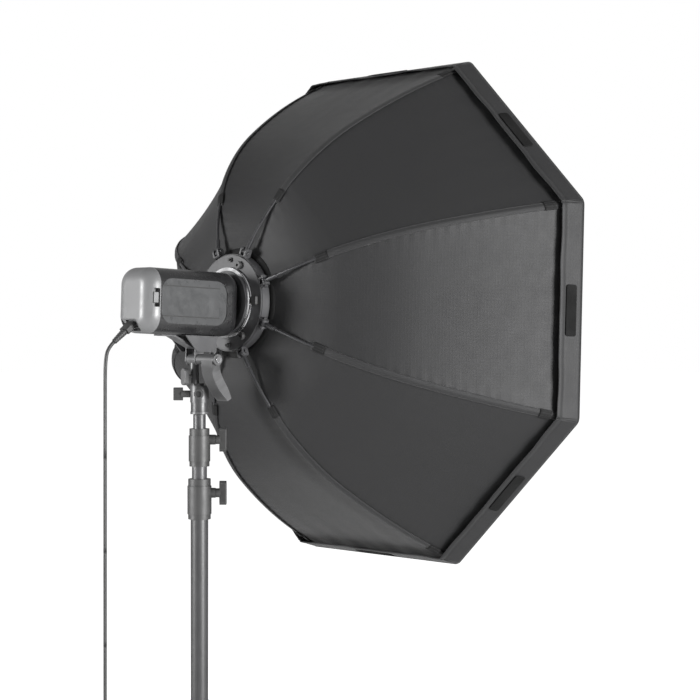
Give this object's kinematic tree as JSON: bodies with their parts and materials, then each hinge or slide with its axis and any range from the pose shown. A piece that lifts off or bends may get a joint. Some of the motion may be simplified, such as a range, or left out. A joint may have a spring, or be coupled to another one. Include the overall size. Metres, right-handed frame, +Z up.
{
  "type": "studio softbox",
  "caption": "Octagonal folding softbox with a recessed white front, on a studio flash head, a tilting bracket and a sectioned tripod stand, with its power lead.",
  "frame": {"origin": "on the floor, at the middle of the box round the whole object without its power lead", "axes": "+Z up, the light points along -Y, X across; the head leans 2 degrees down at rest"},
  "size_m": [1.0686, 1.0487, 1.8132],
  "materials": {
    "black_fabric": "woven ripstop nylon",
    "black_webbing": "woven nylon tape",
    "hook_loop": "napped hook-and-loop tape",
    "white_diffuser": "translucent woven nylon",
    "black_anodised": "satin powder coat",
    "bright_steel": "bright turned steel",
    "rod_steel": "black oxide spring steel",
    "head_plastic": "fine textured moulding",
    "plate_plastic": "satin face plate",
    "knob_plastic": "moulded nylon",
    "grey_metal": "grey powder coat",
    "clear_glass": "polished",
    "cord_rubber": "smooth jacket"
  },
  "bodies": {
    "stand_base": {"base_tube": "black_anodised", "lower_collar": "knob_plastic", "leg_hub": "knob_plastic", "cord_lower": "cord_rubber", "cord_coil": "cord_rubber", "mains_plug": "cord_rubber"},
    "leg_slider": {"leg_collar": "knob_plastic"},
    "leg_lock": {"leg_knob": "knob_plastic"},
    "middle_section": {"middle_tube": "black_anodised", "upper_collar": "knob_plastic"},
    "top_section": {"top_tube": "black_anodised"},
    "lower_lock": {"lower_knob": "knob_plastic"},
    "upper_lock": {"upper_knob": "knob_plastic"},
    "bracket": {"bracket_receiver": "grey_metal", "tilt_post": "grey_metal", "tilt_bolt": "bright_steel", "cord_middle": "cord_rubber"},
    "receiver_lock": {"receiver_screw": "knob_plastic"},
    "post_lock": {"post_knob": "grey_metal"},
    "tilt_handle": {"tilt_lever": "grey_metal"},
    "flash_head": {"head_shell_left": "head_plastic", "head_shell_right": "head_plastic", "side_plate": "plate_plastic", "control_panel": "plate_plastic", "rear_cover": "head_plastic", "head_mount_ring": "black_anodised", "flash_tube": "clear_glass", "glass_dome": "clear_glass", "mount_insert": "bright_steel", "head_yoke": "black_anodised", "tilt_clevis": "grey_metal", "cord_plug": "cord_rubber", "cord_upper": "cord_rubber"},
    "dial": {"control_dial": "knob_plastic"},
    "button": {"test_button": "knob_plastic"},
    "latch": {"cover_latch": "head_plastic"},
    "softbox": {"ring_plate": "black_anodised", "ring_drum": "black_anodised", "ring_screws": "knob_plastic", "rod_hinges": "black_anodised", "canopy_panels": "black_fabric", "rod_sleeves": "black_webbing", "rim_band": "black_fabric", "hook_loop_patches": "hook_loop", "front_diffuser": "white_diffuser", "inner_baffle": "white_diffuser"},
    "leg_arm_1": {"leg_1": "black_anodised"},
    "strut_arm_1": {"strut_1": "black_anodised"},
    "leg_arm_2": {"leg_2": "black_anodised"},
    "strut_arm_2": {"strut_2": "black_anodised"},
    "leg_arm_3": {"leg_3": "black_anodised"},
    "strut_arm_3": {"strut_3": "black_anodised"},
    "rod_1_arm": {"rod_1": "rod_steel"},
    "rod_2_arm": {"rod_2": "rod_steel"},
    "rod_3_arm": {"rod_3": "rod_steel"},
    "rod_4_arm": {"rod_4": "rod_steel"},
    "rod_5_arm": {"rod_5": "rod_steel"},
    "rod_6_arm": {"rod_6": "rod_steel"},
    "rod_7_arm": {"rod_7": "rod_steel"},
    "rod_8_arm": {"rod_8": "rod_steel"}
  },
  "joints": [
    {"name": "leg_collar_slide", "type": "slide", "parent": "stand_base", "child": "leg_slider", "axis": [0, 0, 1], "range_m": [0, 0.2372]},
    {"name": "leg_1_fold", "type": "hinge", "parent": "leg_slider", "child": "leg_arm_1", "pos_m": [0, 0.108, 0.465], "axis": [-1, 0, 0], "range_deg": [-43, 0]},
    {"name": "strut_1_fold", "type": "hinge", "parent": "stand_base", "child": "strut_arm_1", "pos_m": [0, 0.116, 0.16], "axis": [-1, 0, 0], "range_deg": [0, 61.07]},
    {"name": "leg_2_fold", "type": "hinge", "parent": "leg_slider", "child": "leg_arm_2", "pos_m": [0.03464, 0.168, 0.465], "axis": [0.5, -0.866, 0], "range_deg": [-43, 0]},
    {"name": "strut_2_fold", "type": "hinge", "parent": "stand_base", "child": "strut_arm_2", "pos_m": [0.02771, 0.164, 0.16], "axis": [0.5, -0.866, 0], "range_deg": [0, 61.07]},
    {"name": "leg_3_fold", "type": "hinge", "parent": "leg_slider", "child": "leg_arm_3", "pos_m": [-0.03464, 0.168, 0.465], "axis": [0.5, 0.866, 0], "range_deg": [-43, 0]},
    {"name": "strut_3_fold", "type": "hinge", "parent": "stand_base", "child": "strut_arm_3", "pos_m": [-0.02771, 0.164, 0.16], "axis": [0.5, 0.866, 0], "range_deg": [0, 61.07]},
    {"name": "leg_knob_turn", "type": "hinge", "parent": "leg_slider", "child": "leg_lock", "pos_m": [0, 0.148, 0.484], "axis": [0, 1, 0], "continuous": true},
    {"name": "middle_slide", "type": "slide", "parent": "stand_base", "child": "middle_section", "axis": [0, 0, 1], "range_m": [0, 0.6]},
    {"name": "top_slide", "type": "slide", "parent": "middle_section", "child": "top_section", "axis": [0, 0, 1], "range_m": [0, 0.6]},
    {"name": "lower_knob_turn", "type": "hinge", "parent": "stand_base", "child": "lower_lock", "pos_m": [0, 0.148, 0.917], "axis": [-0.7071, -0.7071, 0], "continuous": true},
    {"name": "upper_knob_turn", "type": "hinge", "parent": "middle_section", "child": "upper_lock", "pos_m": [0, 0.148, 1.023], "axis": [-0.7071, -0.7071, 0], "continuous": true},
    {"name": "bracket_swivel", "type": "hinge", "parent": "top_section", "child": "bracket", "pos_m": [0, 0.148, 1.095], "axis": [0, 0, 1], "continuous": true},
    {"name": "receiver_screw_turn", "type": "hinge", "parent": "bracket", "child": "receiver_lock", "pos_m": [0, 0.148, 1.114], "axis": [0.7071, 0.7071, 0], "continuous": true},
    {"name": "post_knob_turn", "type": "hinge", "parent": "bracket", "child": "post_lock", "pos_m": [0, 0.161, 1.149], "axis": [0, 1, 0], "continuous": true},
    {"name": "lever_turn", "type": "hinge", "parent": "bracket", "child": "tilt_handle", "pos_m": [0, 0.161, 1.183], "axis": [1, 0, 0], "range_deg": [-60, 60]},
    {"name": "head_tilt", "type": "hinge", "parent": "bracket", "child": "flash_head", "pos_m": [0, 0.161, 1.183], "axis": [1, 0, 0], "range_deg": [-45, 25], "deforming": ["cord_upper"]},
    {"name": "dial_turn", "type": "hinge", "parent": "flash_head", "child": "dial", "pos_m": [0.052, 0.17984, 1.29478], "axis": [1, 0, 0], "continuous": true},
    {"name": "button_press", "type": "slide", "parent": "flash_head", "child": "button", "axis": [-1, 0, 0], "range_m": [0, 0.0008], "stiffness_N_per_m": 400},
    {"name": "latch_press", "type": "slide", "parent": "flash_head", "child": "latch", "axis": [1, 0, 0], "range_m": [0, 0.0012], "stiffness_N_per_m": 400},
    {"name": "softbox_rotate", "type": "hinge", "parent": "flash_head", "child": "softbox", "pos_m": [0, 0.07069, 1.29671], "axis": [0, -0.9993, -0.0373], "continuous": true},
    {"name": "rod_1_fold", "type": "hinge", "parent": "softbox", "child": "rod_1_arm", "pos_m": [0.10163, 0.06512, 1.33862], "axis": [0.3827, 0.0345, -0.9232], "range_deg": [0, 45], "deforming": ["canopy_panels", "rod_sleeves", "rim_band", "hook_loop_patches", "front_diffuser", "inner_baffle"]},
    {"name": "rod_2_fold", "type": "hinge", "parent": "softbox", "child": "rod_2_arm", "pos_m": [0.0421, 0.0629, 1.39811], "axis": [0.9239, 0.0143, -0.3824], "range_deg": [0, 45]},
    {"name": "rod_3_fold", "type": "hinge", "parent": "softbox", "child": "rod_3_arm", "pos_m": [-0.0421, 0.0629, 1.39811], "axis": [0.9239, -0.0143, 0.3824], "range_deg": [0, 45]},
    {"name": "rod_4_fold", "type": "hinge", "parent": "softbox", "child": "rod_4_arm", "pos_m": [-0.10163, 0.06512, 1.33862], "axis": [0.3827, -0.0345, 0.9232], "range_deg": [0, 45]},
    {"name": "rod_5_fold", "type": "hinge", "parent": "softbox", "child": "rod_5_arm", "pos_m": [-0.10163, 0.06827, 1.25449], "axis": [-0.3827, -0.0345, 0.9232], "range_deg": [0, 45]},
    {"name": "rod_6_fold", "type": "hinge", "parent": "softbox", "child": "rod_6_arm", "pos_m": [-0.0421, 0.07049, 1.195], "axis": [-0.9239, -0.0143, 0.3824], "range_deg": [0, 45]},
    {"name": "rod_7_fold", "type": "hinge", "parent": "softbox", "child": "rod_7_arm", "pos_m": [0.0421, 0.07049, 1.195], "axis": [-0.9239, 0.0143, -0.3824], "range_deg": [0, 45]},
    {"name": "rod_8_fold", "type": "hinge", "parent": "softbox", "child": "rod_8_arm", "pos_m": [0.10163, 0.06827, 1.25449], "axis": [-0.3827, 0.0345, -0.9232], "range_deg": [0, 45]}
  ],
  "couplings": [
    {"joint": "leg_1_fold", "follows": "leg_collar_slide", "rad_per_m": -3.1639},
    {"joint": "strut_1_fold", "follows": "leg_collar_slide", "rad_per_m": 4.4934},
    {"joint": "leg_2_fold", "follows": "leg_collar_slide", "rad_per_m": -3.1639},
    {"joint": "strut_2_fold", "follows": "leg_collar_slide", "rad_per_m": 4.4934},
    {"joint": "leg_3_fold", "follows": "leg_collar_slide", "rad_per_m": -3.1639},
    {"joint": "strut_3_fold", "follows": "leg_collar_slide", "rad_per_m": 4.4934},
    {"joint": "rod_2_fold", "follows": "rod_1_fold", "ratio": 1},
    {"joint": "rod_3_fold", "follows": "rod_1_fold", "ratio": 1},
    {"joint": "rod_4_fold", "follows": "rod_1_fold", "ratio": 1},
    {"joint": "rod_5_fold", "follows": "rod_1_fold", "ratio": 1},
    {"joint": "rod_6_fold", "follows": "rod_1_fold", "ratio": 1},
    {"joint": "rod_7_fold", "follows": "rod_1_fold", "ratio": 1},
    {"joint": "rod_8_fold", "follows": "rod_1_fold", "ratio": 1}
  ]
}
